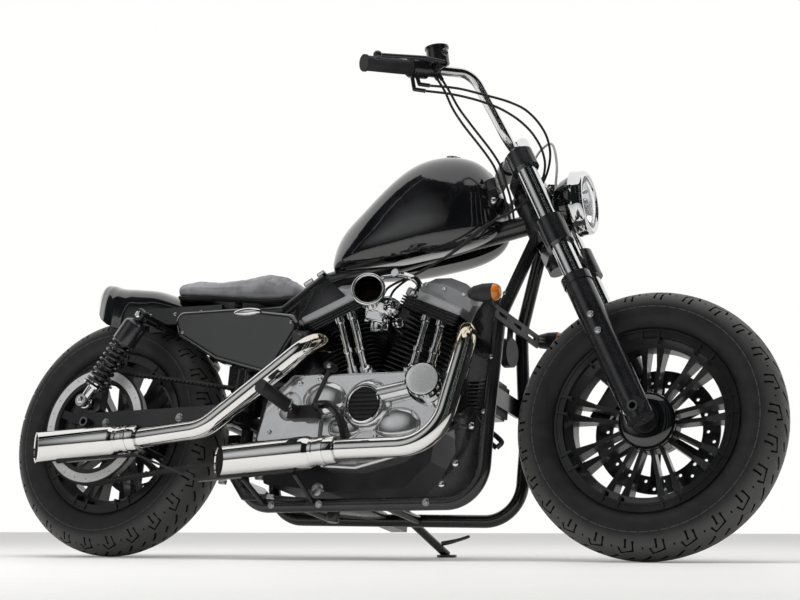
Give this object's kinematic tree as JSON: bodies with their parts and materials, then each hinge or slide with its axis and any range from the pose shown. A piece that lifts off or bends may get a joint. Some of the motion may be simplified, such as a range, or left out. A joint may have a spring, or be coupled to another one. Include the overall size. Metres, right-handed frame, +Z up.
{
  "type": "chopper motorcycle",
  "caption": "Chopper motorcycle with an air-cooled V-twin, solo seat, upswept rear fender and tall handlebar, leaning on its side stand.",
  "frame": {"origin": "on the ground under the middle of the whole machine, standing leaned on its side stand", "axes": "+X forward along the machine, +Y to its left, +Z up"},
  "size_m": [2.1421, 0.924, 1.2398],
  "materials": {
    "frame_black": "gloss black enamel",
    "chrome": "bright chrome plate",
    "steel": "ground",
    "engine_black": "satin black wrinkle paint",
    "seat": "matt black cover",
    "plastic": "matt black",
    "black_gloss": "gloss black paint over solid body panels",
    "polished": "polished",
    "engine_silver": "satin silver paint",
    "rubber": "matt",
    "fork_tube": "ground and polished",
    "controls": "black",
    "lens": "clear",
    "tyre": "matt",
    "wheel_black": "gloss black with machined lips"
  },
  "bodies": {
    "frame": {"frame_neck": "frame_black", "frame_downtubes": "frame_black", "frame_lower_rails": "frame_black", "frame_rear": "frame_black", "swingarm": "frame_black", "rear_shocks": "chrome", "rear_axle": "steel", "rear_caliper": "engine_black", "rear_fender": "frame_black", "seat_cushion": "seat", "seat_pan": "plastic", "fuel_tank": "black_gloss", "side_covers": "black_gloss", "crankcase": "engine_black", "gearcase_cover": "polished", "timer_cover": "engine_black", "primary_cover": "polished", "cylinders": "engine_black", "rocker_boxes": "engine_silver", "pushrod_tubes": "chrome", "oil_filter": "chrome", "air_horn": "chrome", "exhaust_headers": "chrome", "mufflers": "chrome", "foot_controls": "frame_black", "drive_belt": "rubber", "front_electrics": "plastic"},
    "steering": {"fork_clamps": "frame_black", "fork_tubes": "fork_tube", "fork_sliders": "engine_black", "front_axle": "steel", "front_caliper": "engine_black", "handlebar": "chrome", "hand_grips": "rubber", "hand_controls": "controls", "control_cables": "rubber", "headlight_shell": "frame_black", "headlight_lens": "lens"},
    "front_wheel": {"front_tyre": "tyre", "front_wheel": "wheel_black", "front_brake_disc": "steel"},
    "rear_wheel": {"rear_tyre": "tyre", "rear_wheel": "wheel_black", "rear_brake_disc": "steel", "rear_pulley": "polished"},
    "side_stand": {"side_stand": "frame_black"}
  },
  "joints": [
    {"name": "steering", "type": "hinge", "parent": "frame", "child": "steering", "pos_m": [0.71171, -0.14596, 0.29395], "axis": [-0.4593, 0.1724, 0.8714], "range_deg": [-34.5, 25.5], "deforming": ["control_cables"]},
    {"name": "front_wheel", "type": "hinge", "parent": "steering", "child": "front_wheel", "pos_m": [0.75173, -0.13846, 0.31357], "axis": [-0.0699, 0.9709, -0.229], "continuous": true},
    {"name": "rear_wheel", "type": "hinge", "parent": "frame", "child": "rear_wheel", "pos_m": [-0.74814, -0.14134, 0.31873], "axis": [-0.0002, 0.981, -0.1942], "continuous": true},
    {"name": "side_stand", "type": "hinge", "parent": "frame", "child": "side_stand", "pos_m": [0.03466, -0.0121, 0.11601], "axis": [0.0008, 0.606, 0.7955], "range_deg": [0, 92]}
  ]
}
